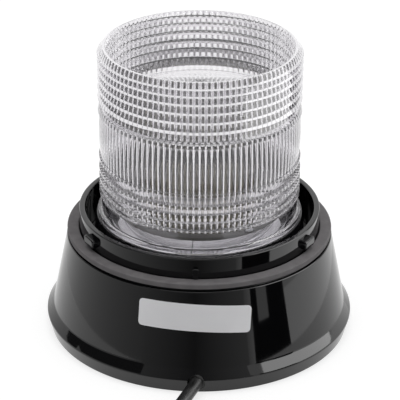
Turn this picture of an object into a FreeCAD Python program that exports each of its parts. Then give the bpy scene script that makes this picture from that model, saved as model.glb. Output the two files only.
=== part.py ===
import FreeCAD, Part
import math
import os

# Flashing beacon with its outer dome taken off. Millimetres, +Z up. The origin is the middle of the foot,
# on the surface that it stands on, and the cord leaves towards -Y. Azimuths count from -Y towards +X.

# Fits
push_fit = 0.1          # radial room round a piece that is pushed into another
screw_fit = 0.05        # radial room round a screw's shank
turn_gap = 0.3          # room round the lens, which turns in its carrier
lift_gap = 0.2          # room under the lens flange
overrun = 1.0           # how far a cutting shape stands out of what it cuts

# Base housing, each width measured outwards from the piece inside it
ledge_width = 6.7       # from the collar to the shoulder, under the gasket
cone_draw = 8.0         # how far the cone opens from the shoulder down to the bevel
cone_rise = 39.6
bevel_width = 3.8
bevel_rise = 4.8
rim_height = 7.8
rim_flare = 2.0         # how far the rim stands out over the foot
foot_land = 3.0         # width of the foot round the base plate
housing_wall = 2.8
shadow_gap = 1.2        # groove under the edge of the gasket
shadow_depth = 1.7
spigot_wall = 2.4       # the collar stands in a spigot under the gasket's ledge
spigot_lip = 2.4

# Bayonet collar, a ring with a moat floor
moat_width = 3.9        # from the carrier's foot to the collar
collar_wall = 3.0
collar_rise = 14.0
collar_round = 0.5
moat_depth = 21.4
moat_floor_thickness = 3.0
moat_floor_land = 8.0   # how far the floor reaches in under the carrier

# Its lugs and stop ribs, for the dome
lug_count = 3
lug_azimuth = 60.0
lug_length = 10.0
lug_height = 5.0
lug_proud = 2.8
lug_round = 1.2
lug_lift = 2.0          # from the gasket's top to the lug
rib_azimuth = -1.6
rib_width = 3.0
rib_height = 5.7
rib_proud = 1.8
rib_round = 0.7

# Gasket
gasket_inset = 0.2      # from the shoulder to the gasket's edge
gasket_thickness = 3.1
gasket_chamfer = 0.5
gasket_room = 0.4

# Base plate and its fixings
plate_thickness = 2.2
plate_recess = 0.4
plate_room = 0.4
plate_rib_height = 3.0
plate_rib_width = 1.8
plate_screw_count = 4
plate_screw_azimuth = 45.0
plate_screw_radius = 1.6
plate_screw_length = 16.0
plate_screw_head = 3.6
plate_screw_head_depth = 1.9
boss_radius = 3.4
insert_count = 3
insert_azimuth = 60.0
insert_margin = 11.6    # from the plate's edge to an insert's middle
insert_radius = 4.2
insert_bore = 2.5
insert_length = 10.0
insert_flange = 0.8
insert_boss_radius = 6.5
insert_boss_cap = 1.8

# Lens carrier
carrier_height = 18.0
carrier_rim_wall = 3.0
carrier_taper = 2.4     # how far the carrier widens down to its foot
carrier_wall = 2.6
carrier_shelf_drop = 8.0
carrier_shelf_thickness = 2.6
carrier_shelf_land = 4.5    # how far the board lies on the shelf
carrier_screw_count = 3
carrier_screw_azimuth = 0.0
carrier_screw_inset = 4.0
carrier_screw_radius = 1.7
carrier_screw_length = 10.0
carrier_boss_radius = 3.6
pan_head_radius = 3.2
pan_head_height = 2.2

# Lens: outside, prism rings above and below a plain convex belt, and inside, upright flutes
lens_bore_radius = 49.0
lens_skirt_wall = 1.9
lens_skirt_depth = 5.6
lens_edge_proud = 2.0   # each of these stands this much outside the skirt
lens_low_edge_proud = 1.7
belt_proud = 1.55
belt_top_proud = 1.15
belt_foot_proud = 0.85
lens_neck_proud = 0.7
lens_flange_proud = 2.5
peg_proud = 1.8
belt_height = 25.1
# Prism rings from the belt outwards, each its height and depth
upper_prisms = ((7.9, 1.2), (5.4, 1.9), (5.0, 2.3), (4.9, 2.5), (4.5, 2.6), (3.8, 2.6))
lens_rim_height = 3.2
lens_rim_slope = 3.5    # how far the rim leans in
lower_prisms = ((6.6, 1.3), (4.8, 1.5), (4.6, 1.7), (4.0, 1.7), (1.8, 0.9))
lens_neck_height = 8.8
lens_flange_height = 2.7
lens_floor_thickness = 1.2
lens_floor_rise = 1.3   # from the belt's top up to the top of the floor
flute_count = 100
flute_step_in = 0.3     # from the bore in to the valleys
flute_depth = 0.8
peg_count = 3
peg_azimuth = 40.0
peg_half_angle = 5.0
peg_height = 2.4
peg_drop = 2.4          # from the carrier's rim to the top of the peg
twist_angle = 18.0      # from locked to free

# Circuit board and reflector
board_room = 4.7        # from the lens socket in to the board's edge
board_thickness = 1.6
board_screw_count = 3
board_screw_azimuth = 20.0
board_screw_inset = 2.0
board_screw_radius = 1.4
board_screw_length = 3.6
board_head_radius = 2.5
board_head_height = 1.8
spacer_count = 3
spacer_azimuth = 50.0
spacer_inset = 7.0
spacer_radius = 3.0
spacer_height = 6.0
spacer_bore = 1.3
reflector_room = 9.0
reflector_sheet = 0.8
reflector_hole = 15.0
reflector_screw_length = 5.0
band_room = 0.4         # from the lens bore in to the bright band
band_sheet = 0.4
band_foot_rise = 4.6    # upright part, on the carrier's shelf
band_slope_rise = 6.0   # part that leans in over the board
band_slope_width = 8.0
band_seam = 0.3
band_seam_azimuth = -4.6

# Flash tube and its holder
holder_foot_radius = 13.6
holder_foot_height = 4.0
holder_waist_radius = 11.2
holder_top_radius = 12.4
holder_height = 26.0
tube_radius = 3.5
tube_spacing = 15.0
tube_headroom = 4.0     # from the trigger wire to the floor of the lens
tube_socket_depth = 6.0
end_cap_wall = 0.8
end_cap_height = 5.0
wire_radius = 0.45
wire_stand_off = 0.65
wire_tail = 14.0

# Components under the board, each with its place on it
capacitor_radius = 11.0
capacitor_length = 36.0
capacitor_place = (-20.0, 9.0)
capacitor_groove = 0.7
core_width = 26.0
core_depth = 16.0
core_tall = 22.0
core_leg = 4.0
core_middle = 8.0
core_place = (17.0, 12.0)
winding_build = 4.4
winding_round = 2.0
trigger_radius = 5.5
trigger_length = 16.0
trigger_offset = (5.0, 12.0)    # from the film capacitor
film_size = (18.0, 7.0, 12.0)
film_x = -14.0
film_inset = 10.0       # from the shelf's hole
film_round = 1.0
sink_size = (22.0, 14.0, 26.0)
sink_sheet = 1.6
sink_inset = 19.0
sink_y = -14.0
transistor_size = (10.2, 4.5, 15.5)
transistor_tab = 1.3
transistor_hang = 8.0
lead_half = 0.4
chip_size = (9.6, 6.4, 3.4)
chip_place = (-2.0, 28.0)
chip_foot = 0.5
resistor_radius = 1.3
resistor_length = 6.6
resistor_lead = 0.35
resistor_span = 10.0
resistor_hang = 2.2
resistor_places = ((-2.0, -6.0), (-2.0, -1.0), (-2.0, 4.0), (-2.0, 9.0))
block_size = (11.0, 8.0, 10.0)
block_x = 5.0
block_inset = 9.0
block_hole_radius = 1.5

# Cord: where it leaves, and what holds it
cord_diameter = 6.5
cord_exit_x = -0.95
cord_exit_inset = 1.4   # the outlet lies this far inside the rim
cord_turn = 20.0        # the outlet points this much to the left of the front
cord_lift = 0.15        # room between the cord and the base plate
cord_inside = 34.0
grommet_wall = 0.8
clamp_inside = 22.0     # from the outlet to the middle of the clamp
clamp_width = 9.0
clamp_sheet = 2.4
clamp_span = 22.0
clamp_boss_radius = 3.2
clamp_screw_radius = 1.4
clamp_screw_length = 7.0
core_wire_radius = 1.1
core_wire_spread = 2.5

# Cord on the floor: each run's length and how far left of the front it points, the last one into the coil
cord_runs = ((18.0, 20.0), (19.0, 28.0), (22.0, 18.0), (18.0, 8.0))

# Coil of the cord's spare length
coil_middle_radius = 35.75
coil_turns_wide = 2     # each layer is a spiral of this many turns
coil_turns_high = 2
tie_width = 4.0
tie_sheet = 1.0
tie_azimuth = 60.0
lead_gap = 52.0         # angle that the last turn leaves free for the stripped cores
lead_length = 24.0

# Radii that follow, from the lens bore outwards and inwards
lens_skirt_radius = lens_bore_radius + lens_skirt_wall
lens_edge_radius = lens_skirt_radius + lens_edge_proud
lens_low_edge_radius = lens_skirt_radius + lens_low_edge_proud
lens_rim_radius = lens_edge_radius - lens_rim_slope
belt_radius = lens_skirt_radius + belt_proud
belt_top_radius = lens_skirt_radius + belt_top_proud
belt_foot_radius = lens_skirt_radius + belt_foot_proud
lens_neck_radius = lens_skirt_radius + lens_neck_proud
lens_flange_radius = lens_skirt_radius + lens_flange_proud
peg_radius = lens_skirt_radius + peg_proud
flute_valley_radius = lens_bore_radius - flute_step_in
flute_crest_radius = flute_valley_radius - flute_depth
socket_radius = lens_skirt_radius + turn_gap
carrier_rim_radius = socket_radius + carrier_rim_wall
carrier_foot_radius = carrier_rim_radius + carrier_taper
carrier_skirt_inside = carrier_foot_radius - carrier_wall
carrier_screw_circle = carrier_skirt_inside - carrier_screw_inset
floor_hole_radius = carrier_skirt_inside - moat_floor_land
collar_inside = carrier_foot_radius + moat_width
collar_radius = collar_inside + collar_wall
spigot_inside = collar_radius + push_fit
shoulder_radius = collar_radius + ledge_width
gasket_radius = shoulder_radius - gasket_inset
bevel_radius = shoulder_radius + cone_draw
rim_radius = bevel_radius + bevel_width
foot_radius = rim_radius - rim_flare
plate_radius = foot_radius - foot_land - plate_room
insert_circle = plate_radius - insert_margin
boss_circle_radius = spigot_inside + spigot_wall / 2
board_radius = socket_radius - board_room
board_screw_circle = board_radius - board_screw_inset
carrier_shelf_hole = board_radius - carrier_shelf_land
reflector_radius = lens_bore_radius - reflector_room
spacer_circle = reflector_radius - spacer_inset
band_radius = lens_bore_radius - band_room
film_place = (film_x, film_inset - carrier_shelf_hole)
trigger_place = (film_place[0] + trigger_offset[0], film_place[1] + trigger_offset[1])
sink_place = (carrier_shelf_hole - sink_inset, sink_y)
block_place = (block_x, block_inset - carrier_shelf_hole)

# Heights that follow
bevel_height = rim_height + bevel_rise
shoulder_height = bevel_height + cone_rise
gasket_seat = shoulder_height + shadow_gap
gasket_top = gasket_seat + gasket_thickness
collar_top = gasket_seat + collar_rise
moat_floor = collar_top - moat_depth
moat_underside = moat_floor - moat_floor_thickness
ledge_underside = gasket_seat - housing_wall
lip_underside = moat_underside - spigot_lip
plate_top = plate_recess + plate_thickness
carrier_top = moat_floor + carrier_height
shelf_top = carrier_top - carrier_shelf_drop
shelf_underside = shelf_top - carrier_shelf_thickness
lens_base = carrier_top + lift_gap
flange_top = lens_base + lens_flange_height
neck_top = flange_top + lens_neck_height
belt_foot = neck_top + sum(height for height, depth in lower_prisms)
belt_top = belt_foot + belt_height
lens_top = belt_top + sum(height for height, depth in upper_prisms) + lens_rim_height
floor_top = belt_top + lens_floor_rise
floor_underside = floor_top - lens_floor_thickness
board_top = shelf_top + board_thickness
reflector_base = board_top + spacer_height
holder_top = board_top + holder_height
wire_reach = tube_radius + wire_stand_off + wire_radius
tube_crown = floor_underside - tube_headroom - wire_reach - wire_radius
tube_spring = tube_crown - tube_spacing / 2
cord_radius = cord_diameter / 2
cord_height = plate_top + cord_lift + cord_radius
grommet_radius = cord_radius + push_fit + grommet_wall
coil_join_azimuth = -90.0 - cord_runs[-1][1]
coil_track_radius = coil_middle_radius + coil_turns_wide * cord_radius
coil_half_width = (coil_turns_wide + 1) * cord_radius
coil_top = coil_turns_high * cord_diameter
flute_step = 360.0 / flute_count
up = FreeCAD.Vector(0, 0, 1)
origin = FreeCAD.Vector(0, 0, 0)
cord_angle = math.radians(cord_turn)
cord_heading = FreeCAD.Vector(-math.sin(cord_angle), -math.cos(cord_angle), 0)
cord_side = FreeCAD.Vector(-cord_heading.y, cord_heading.x, 0)
cord_exit = FreeCAD.Vector(cord_exit_x, cord_exit_inset - rim_radius, cord_height)


def polar(radius, azimuth, z=0.0):
    angle = math.radians(azimuth)
    return FreeCAD.Vector(radius * math.sin(angle), -radius * math.cos(angle), z)


def revolved(points, angle=360.0):
    """Solid of revolution about Z of a closed outline of (radius, height) points."""
    outline = [FreeCAD.Vector(r, 0, z) for r, z in points]
    face = Part.Face(Part.makePolygon(outline + outline[:1]))
    return face.revolve(origin, up, angle)


def ring(inner, outer, low, high):
    return revolved([(inner, low), (outer, low), (outer, high), (inner, high)])


def sector(inner, outer, low, high, start, end):
    """Piece of a ring between two azimuths."""
    solid = revolved([(inner, low), (outer, low), (outer, high), (inner, high)], end - start)
    solid.rotate(origin, up, start - 90.0)
    return solid


def rod(radius, low, high, at=origin):
    return Part.makeCylinder(radius, high - low, FreeCAD.Vector(at.x, at.y, low), up)


def block(size, low_z, place=(0.0, 0.0)):
    x, y, z = size
    return Part.makeBox(x, y, z, FreeCAD.Vector(place[0] - x / 2, place[1] - y / 2, low_z))


def turned(shape, azimuth):
    copy = shape.copy()
    copy.rotate(origin, up, azimuth)
    return copy


def around(shape, count, first):
    return [turned(shape, first + 360.0 * k / count) for k in range(count)]


def rounded(shape, radius, chosen):
    edges = [edge for edge in shape.Edges if chosen(edge)]
    return shape.makeFillet(radius, edges)


def lies_along(edge, direction):
    return abs(edge.tangentAt(edge.FirstParameter).dot(direction)) > 0.99


def along_cord(shape):
    """Moves a shape made along +X from the origin to run inwards from the cord's outlet."""
    copy = shape.copy()
    copy.rotate(origin, up, 90.0 - cord_turn)
    copy.translate(cord_exit)
    return copy


def route_wire(points):
    """Straight runs joined by tangent arcs, each as large as its two runs allow, and their radii."""
    edges = []
    radii = []
    start = points[0]
    for before, corner, after in zip(points, points[1:], points[2:]):
        back = (before - corner).normalize()
        ahead = (after - corner).normalize()
        half_turn = (math.pi - back.getAngle(ahead)) / 2
        reach = 0.45 * min((before - corner).Length, (after - corner).Length)
        radius = reach / math.tan(half_turn)
        radii.append(radius)
        enter = corner + back * reach
        leave = corner + ahead * reach
        inward = (back + ahead).normalize()
        middle = corner + inward * (radius / math.cos(half_turn) - radius)
        edges.append(Part.LineSegment(start, enter).toShape())
        edges.append(Part.Arc(enter, middle, leave).toShape())
        start = leave
    edges.append(Part.LineSegment(start, points[-1]).toShape())
    return Part.Wire(edges), radii


def swept(wire, radius):
    """Round rod of this radius along a wire."""
    first = wire.Edges[0]
    at = first.valueAt(first.FirstParameter)
    heading = first.tangentAt(first.FirstParameter)
    disc = Part.Wire([Part.Circle(at, heading, radius).toShape()])
    return wire.makePipeShell([disc], True, False)


def cone_radius(z):
    share = (z - bevel_height) / (shoulder_height - bevel_height)
    return bevel_radius + share * (shoulder_radius - bevel_radius)


def pan_head(radius, height):
    """Screw head with a sloped edge, flat side down on the origin."""
    return revolved([(0.0, 0.0), (radius, 0.0), (radius, 0.4 * height), (0.75 * radius, height),
                     (0.0, height)])


def cone_outline():
    return [(foot_radius, 0.0), (rim_radius, rim_height), (bevel_radius, bevel_height),
            (shoulder_radius, shoulder_height)]


def cone_envelope():
    return revolved(cone_outline() + [(0.0, shoulder_height), (0.0, 0.0)])


def base_housing():
    """Cone shell with a ledge for the gasket, a spigot for the collar and bosses for the base plate."""
    spigot_outside = spigot_inside + spigot_wall
    outside = cone_outline()
    groove_radius = shoulder_radius - shadow_depth
    outside += [(groove_radius, shoulder_height), (groove_radius, gasket_seat)]
    inside = [(spigot_inside, gasket_seat), (spigot_inside, moat_underside), (collar_inside, moat_underside),
              (collar_inside, lip_underside), (spigot_outside, lip_underside),
              (spigot_outside, ledge_underside),
              (cone_radius(ledge_underside) - housing_wall, ledge_underside),
              (bevel_radius - housing_wall, bevel_height), (bevel_radius - housing_wall, plate_top),
              (plate_radius + plate_room, plate_top), (plate_radius + plate_room, 0.0)]
    shell = revolved(outside + inside)
    boss = rod(boss_radius, plate_top, lip_underside + spigot_lip / 2, polar(boss_circle_radius, 0.0))
    shell = shell.fuse(around(boss, plate_screw_count, plate_screw_azimuth))
    pilot = rod(plate_screw_radius + screw_fit, plate_recess, plate_recess + plate_screw_length + overrun,
                polar(boss_circle_radius, 0.0))
    outlet_start = FreeCAD.Vector(-rim_radius / 16, 0, 0)
    inwards = FreeCAD.Vector(1, 0, 0)
    outlet = along_cord(Part.makeCylinder(grommet_radius + push_fit, rim_radius / 4, outlet_start, inwards))
    return shell.cut(around(pilot, plate_screw_count, plate_screw_azimuth) + [outlet]).removeSplitter()


def dome_collar():
    """Bayonet ring that stands in the spigot, with the moat floor inside it."""
    body = revolved([(collar_radius, moat_underside), (collar_radius, collar_top - collar_round),
                     (collar_radius - collar_round, collar_top), (collar_inside + collar_round, collar_top),
                     (collar_inside, collar_top - collar_round), (collar_inside, moat_floor),
                     (floor_hole_radius, moat_floor), (floor_hole_radius, moat_underside)])
    hole = rod(carrier_screw_radius + push_fit, moat_underside - overrun, moat_floor + overrun,
               polar(carrier_screw_circle, 0.0))
    body = body.fuse(collar_lugs() + collar_ribs())
    return body.cut(around(hole, carrier_screw_count, carrier_screw_azimuth)).removeSplitter()


def collar_lugs():
    """Rounded bayonet lugs on the outside of the collar."""
    depth = lug_proud + collar_wall / 2
    lug = block((lug_length, depth, lug_height), gasket_top + lug_lift,
                (0.0, -(collar_radius + lug_proud - depth / 2)))
    lug = rounded(lug, lug_round, lambda edge: lies_along(edge, FreeCAD.Vector(0, 1, 0)))
    return around(lug, lug_count, lug_azimuth)


def collar_ribs():
    """Short upright stops between the lugs."""
    depth = rib_proud + collar_wall / 2
    rib = block((rib_width, depth, rib_height), gasket_top + turn_gap,
                (0.0, -(collar_radius + rib_proud - depth / 2)))
    rib = rounded(rib, rib_round, lambda edge: lies_along(edge, FreeCAD.Vector(0, 1, 0)))
    return around(rib, lug_count, rib_azimuth)


def dome_gasket():
    inner = collar_radius + gasket_room
    c = gasket_chamfer
    outer = gasket_radius
    return revolved([(inner, gasket_seat), (outer - c, gasket_seat), (outer, gasket_seat + c),
                     (outer, gasket_top - c), (outer - c, gasket_top), (inner + c, gasket_top),
                     (inner, gasket_top - c)])


def base_plate():
    plate = ring(0.0, plate_radius, plate_recess, plate_top)
    insert_boss = rod(insert_boss_radius, plate_top, plate_recess + insert_length + insert_boss_cap,
                      polar(insert_circle, 0.0))
    rib = block((plate_rib_width, insert_circle, plate_rib_height), plate_top, (0.0, -insert_circle / 2))
    hub = rod(insert_boss_radius, plate_top, plate_top + plate_rib_height)
    raised = around(insert_boss, insert_count, insert_azimuth) + around(rib, insert_count, insert_azimuth)
    plate = plate.fuse(raised + [hub] + clamp_bosses())
    insert_hole = rod(insert_radius + push_fit, 0.0, plate_recess + insert_length, polar(insert_circle, 0.0))
    flange_hole = rod(insert_radius + insert_flange + push_fit, 0.0, plate_recess + insert_flange,
                      polar(insert_circle, 0.0))
    screw_hole = plate_screw(screw_fit)
    cuts = around(insert_hole, insert_count, insert_azimuth)
    cuts += around(flange_hole, insert_count, insert_azimuth)
    cuts += around(screw_hole, plate_screw_count, plate_screw_azimuth)
    pilot_foot = clamp_foot() + clamp_sheet - clamp_screw_length - turn_gap
    cuts += [rod(clamp_screw_radius + screw_fit, pilot_foot, clamp_foot(), at) for at in clamp_screw_places()]
    return plate.cut(cuts).removeSplitter()


def plate_screw(room=0.0):
    """Countersunk screw, or with room added, the hole that it goes through."""
    low = plate_recess
    head = plate_screw_head + room
    shank = plate_screw_radius + room
    neck = low + plate_screw_head_depth
    solid = revolved([(0.0, low), (head, low), (shank, neck), (shank, low + plate_screw_length),
                      (0.0, low + plate_screw_length)])
    solid.translate(polar(boss_circle_radius, 0.0))
    return solid


def mounting_inserts():
    """Threaded brass inserts with a flange, pushed into the plate from below."""
    low = plate_recess
    high = low + insert_length
    flange_radius = insert_radius + insert_flange
    flange_face = low + insert_flange
    insert = revolved([(insert_bore, low), (flange_radius, low), (flange_radius, flange_face),
                       (insert_radius, flange_face), (insert_radius, high), (insert_bore, high)])
    insert.translate(polar(insert_circle, 0.0))
    return around(insert, insert_count, insert_azimuth)


def lens_carrier():
    body = revolved([(carrier_foot_radius, moat_floor), (carrier_rim_radius, carrier_top),
                     (socket_radius, carrier_top), (socket_radius, shelf_top),
                     (carrier_shelf_hole, shelf_top), (carrier_shelf_hole, shelf_underside),
                     (carrier_skirt_inside, shelf_underside), (carrier_skirt_inside, moat_floor)])
    boss = rod(carrier_boss_radius, moat_floor, shelf_top - carrier_shelf_thickness / 2,
               polar(carrier_screw_circle, 0.0))
    body = body.fuse(around(boss, carrier_screw_count, carrier_screw_azimuth))
    screw_tip = moat_underside + carrier_screw_length
    pilot = rod(carrier_screw_radius + screw_fit, moat_floor - overrun, screw_tip + overrun / 2,
                polar(carrier_screw_circle, 0.0))
    board_pilot = rod(board_screw_radius + screw_fit, shelf_underside, shelf_top + overrun,
                      polar(board_screw_circle, 0.0))
    cuts = around(pilot, carrier_screw_count, carrier_screw_azimuth)
    cuts += around(board_pilot, board_screw_count, board_screw_azimuth)
    return body.cut(cuts + bayonet_slots()).removeSplitter()


def bayonet_slots():
    """Slots that the pegs of the lens drop into and turn along."""
    room = math.degrees(2 * turn_gap / peg_radius)
    half = peg_half_angle + room
    top = carrier_top - peg_drop + turn_gap
    low = carrier_top - peg_drop - peg_height - turn_gap
    depth = peg_radius + turn_gap
    inner = socket_radius - turn_gap
    run = sector(inner, depth, low, top, -half, twist_angle + half)
    entry = sector(inner, depth, low, carrier_top + overrun, twist_angle - half, twist_angle + half)
    return around(run.fuse(entry), peg_count, peg_azimuth)


def carrier_screws():
    """Pan-head screws that hold the carrier from under the moat floor."""
    head = pan_head(pan_head_radius, pan_head_height)
    head.rotate(origin, FreeCAD.Vector(1, 0, 0), 180.0)
    screw = head.fuse(rod(carrier_screw_radius, 0.0, carrier_screw_length))
    screw.translate(polar(carrier_screw_circle, 0.0, moat_underside))
    return around(screw, carrier_screw_count, carrier_screw_azimuth)


def lens_outline():
    """Outside of the lens from its rim down to the skirt, as (radius, height) points."""
    points = [(lens_rim_radius, lens_top)]
    z = lens_top - lens_rim_height
    points.append((lens_edge_radius, z))
    for height, depth in reversed(upper_prisms):
        points.append((lens_edge_radius - depth, z))
        z -= height
        points.append((lens_edge_radius, z))
    points.append((belt_top_radius, belt_top))
    points.append((belt_foot_radius, belt_foot))
    for height, depth in lower_prisms:
        points.append((lens_low_edge_radius, z - belt_height))
        z -= height
        points.append((lens_low_edge_radius - depth, z - belt_height))
    points += [(lens_neck_radius, neck_top), (lens_neck_radius, flange_top)]
    points += [(lens_flange_radius, flange_top), (lens_flange_radius, lens_base)]
    points += [(lens_skirt_radius, lens_base), (lens_skirt_radius, lens_base - lens_skirt_depth)]
    return points


def fluted_core(low, high):
    """Core that leaves upright ribs on the wall round it: arcs between sharp valleys, pulled straight up."""
    arcs = []
    for k in range(flute_count):
        valley = polar(flute_valley_radius, k * flute_step, low)
        crest = polar(flute_crest_radius, (k + 0.5) * flute_step, low)
        after = polar(flute_valley_radius, (k + 1) * flute_step, low)
        arcs.append(Part.Arc(valley, crest, after).toShape())
    return Part.Face(Part.Wire(arcs)).extrude(FreeCAD.Vector(0, 0, high - low))


def fresnel_lens():
    bottom = lens_base - lens_skirt_depth
    outline = [FreeCAD.Vector(r, 0, z) for r, z in lens_outline()]
    outline += [FreeCAD.Vector(0, 0, bottom), FreeCAD.Vector(0, 0, lens_top)]
    edges = []
    for start, end in zip(outline, outline[1:] + outline[:1]):
        if start.z == belt_top and end.z == belt_foot:
            middle = FreeCAD.Vector(belt_radius, 0, (belt_top + belt_foot) / 2)
            edges.append(Part.Arc(start, middle, end).toShape())
        else:
            edges.append(Part.LineSegment(start, end).toShape())
    blank = Part.Face(Part.Wire(edges)).revolve(origin, up, 360.0)
    well = fluted_core(floor_top, lens_top + overrun)
    chamber = fluted_core(neck_top - overrun, floor_underside)
    bore = rod(lens_bore_radius, bottom - overrun, neck_top)
    peg_top = carrier_top - peg_drop
    peg = sector(lens_bore_radius + lens_skirt_wall / 2, peg_radius, peg_top - peg_height, peg_top,
                 -peg_half_angle, peg_half_angle)
    lens = blank.cut([well, chamber, bore])
    return lens.fuse(around(peg, peg_count, peg_azimuth)).removeSplitter()


def circuit_board():
    board = ring(0.0, board_radius, shelf_top, board_top)
    hole = rod(board_screw_radius + screw_fit, shelf_top - overrun, board_top + overrun,
               polar(board_screw_circle, 0.0))
    return board.cut(around(hole, board_screw_count, board_screw_azimuth))


def board_screws():
    head = pan_head(board_head_radius, board_head_height)
    screw = head.fuse(rod(board_screw_radius, -board_screw_length, 0.0))
    screw.translate(polar(board_screw_circle, 0.0, board_top))
    return around(screw, board_screw_count, board_screw_azimuth)


def reflector_spacers():
    spacer = revolved([(spacer_bore, 0.0), (spacer_radius, 0.0), (spacer_radius, spacer_height),
                       (spacer_bore, spacer_height)])
    spacer.translate(polar(spacer_circle, 0.0, board_top))
    return around(spacer, spacer_count, spacer_azimuth)


def reflector_plate():
    """Flat plate round the foot of the flash tube."""
    low = reflector_base
    high = low + reflector_sheet
    plate = ring(reflector_hole, reflector_radius, low, high)
    hole = rod(spacer_bore, low - overrun, high + overrun, polar(spacer_circle, 0.0))
    return plate.cut(around(hole, spacer_count, spacer_azimuth))


def reflector_band():
    """Bright sheet rolled to a ring, upright on the carrier's shelf and then leaning in, with a butt seam."""
    bend = shelf_top + band_foot_rise
    top = bend + band_slope_rise
    inner = band_radius - band_slope_width
    t = band_sheet
    band = revolved([(band_radius - t, shelf_top), (band_radius, shelf_top), (band_radius, bend),
                     (inner, top), (inner - t, top - t), (band_radius - t, bend - t)])
    seam = block((band_seam, 2 * band_slope_width, top - shelf_top + 2 * overrun), shelf_top - overrun,
                 (0.0, -(band_radius - band_slope_width / 2)))
    return band.cut(turned(seam, band_seam_azimuth))


def reflector_screws():
    top = reflector_base + reflector_sheet
    head = pan_head(board_head_radius, board_head_height)
    screw = head.fuse(rod(spacer_bore - screw_fit, -reflector_screw_length, 0.0))
    screw.translate(polar(spacer_circle, 0.0, top))
    return around(screw, spacer_count, spacer_azimuth)


def tube_holder():
    """Column with two sockets for the tube's legs."""
    foot_top = board_top + holder_foot_height
    column = revolved([(0.0, board_top), (holder_foot_radius, board_top), (holder_foot_radius, foot_top),
                       (holder_waist_radius, foot_top + holder_foot_radius - holder_waist_radius),
                       (holder_top_radius, holder_top), (0.0, holder_top)])
    socket_foot = holder_top - tube_socket_depth
    high = holder_top + overrun
    socket = rod(tube_radius + push_fit, socket_foot, high, FreeCAD.Vector(tube_spacing / 2, 0, 0))
    wire_hole = rod(wire_radius + push_fit, socket_foot, high, FreeCAD.Vector(0, wire_reach, 0))
    return column.cut(around(socket, 2, 0.0) + [wire_hole])


def arch_wire(half_span, low_left, low_right, spring, normal_along_y):
    """Two legs joined by a half circle, in the XZ plane or, turned, in the YZ plane."""
    left = FreeCAD.Vector(-half_span, 0, low_left)
    left_top = FreeCAD.Vector(-half_span, 0, spring)
    crown = FreeCAD.Vector(0, 0, spring + half_span)
    right_top = FreeCAD.Vector(half_span, 0, spring)
    right = FreeCAD.Vector(half_span, 0, low_right)
    arch = Part.Arc(left_top, crown, right_top).toShape()
    wire = Part.Wire([Part.LineSegment(left, left_top).toShape(), arch,
                      Part.LineSegment(right_top, right).toShape()])
    if not normal_along_y:
        wire.rotate(origin, up, 90.0)
    return wire


def flash_tube():
    foot = holder_top - tube_socket_depth
    return swept(arch_wire(tube_spacing / 2, foot, foot, tube_spring, True), tube_radius)


def tube_end_caps():
    inner = tube_radius + push_fit
    cap = ring(inner, inner + end_cap_wall, holder_top, holder_top + end_cap_height)
    cap.translate(FreeCAD.Vector(tube_spacing / 2, 0, 0))
    return around(cap, 2, 0.0)


def trigger_wire():
    """Fine wire from the holder over the crown of the tube."""
    foot = holder_top - tube_socket_depth
    return swept(arch_wire(wire_reach, tube_crown - wire_tail, foot, tube_crown, False), wire_radius)


def storage_capacitor():
    """Can with a crimped neck at the board end."""
    high = shelf_top
    low = high - capacitor_length
    groove = high - capacitor_length / 9
    g = capacitor_groove
    r = capacitor_radius
    can = revolved([(0.0, low), (r - g, low), (r, low + g), (r, groove - 2 * g), (r - g, groove - g),
                    (r, groove), (r, high - g), (r - g, high), (0.0, high)])
    can.translate(FreeCAD.Vector(capacitor_place[0], capacitor_place[1], 0))
    return can


def transformer_core():
    low = shelf_top - core_tall
    core = block((core_width, core_depth, core_tall), low, core_place)
    window = (core_width - core_middle) / 2 - core_leg
    offset = core_middle / 2 + window / 2
    opening = (window, core_depth + 2 * overrun, core_tall - 2 * core_leg)
    left = block(opening, low + core_leg, (core_place[0] - offset, core_place[1]))
    right = block(opening, low + core_leg, (core_place[0] + offset, core_place[1]))
    return core.cut([left, right])


def transformer_winding():
    """Copper winding round the core's middle leg."""
    low = shelf_top - core_tall + core_leg + push_fit
    tall = core_tall - 2 * core_leg - 2 * push_fit
    inner = (core_middle + 2 * push_fit, core_depth + 2 * push_fit, tall)
    outer = (inner[0] + 2 * winding_build, inner[1] + 2 * winding_build, tall)
    coil = rounded(block(outer, low, core_place), winding_round, lambda edge: lies_along(edge, up))
    return coil.cut(block((inner[0], inner[1], tall + 2 * overrun), low - overrun, core_place))


def trigger_coil():
    low = shelf_top - trigger_length
    cap = trigger_length / 8
    r = trigger_radius
    waist = r - trigger_radius / 8
    coil = revolved([(0.0, low), (r, low), (r, low + cap), (waist, low + cap), (waist, shelf_top - cap),
                     (r, shelf_top - cap), (r, shelf_top), (0.0, shelf_top)])
    coil.translate(FreeCAD.Vector(trigger_place[0], trigger_place[1], 0))
    return coil


def film_capacitor():
    body = block(film_size, shelf_top - film_size[2], film_place)
    return rounded(body, film_round, lambda edge: lies_along(edge, up))


def heat_sink():
    """Folded channel that stands under the board, open towards the middle."""
    wide, deep, tall = sink_size
    low = shelf_top - tall
    outer = block(sink_size, low, sink_place)
    hollow = block((wide - 2 * sink_sheet, deep, tall + 2 * overrun), low - overrun,
                   (sink_place[0], sink_place[1] + sink_sheet))
    return outer.cut(hollow)


def power_transistor():
    """Moulded body with a metal tab against the heat sink and three leads up to the board."""
    wide, thick, tall = transistor_size
    back = sink_place[1] - sink_size[1] / 2 + sink_sheet
    high = shelf_top - transistor_hang
    body = block((wide, thick - transistor_tab, tall * 0.6), high - tall * 0.6,
                 (sink_place[0], back + transistor_tab + (thick - transistor_tab) / 2))
    tab = block((wide, transistor_tab, tall), high - tall, (sink_place[0], back + transistor_tab / 2))
    leads = [block((2 * lead_half, 2 * lead_half, transistor_hang), high,
                   (sink_place[0] + k * wide / 4, back + thick / 2)) for k in (-1, 0, 1)]
    return body.fuse([tab] + leads).removeSplitter()


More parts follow.
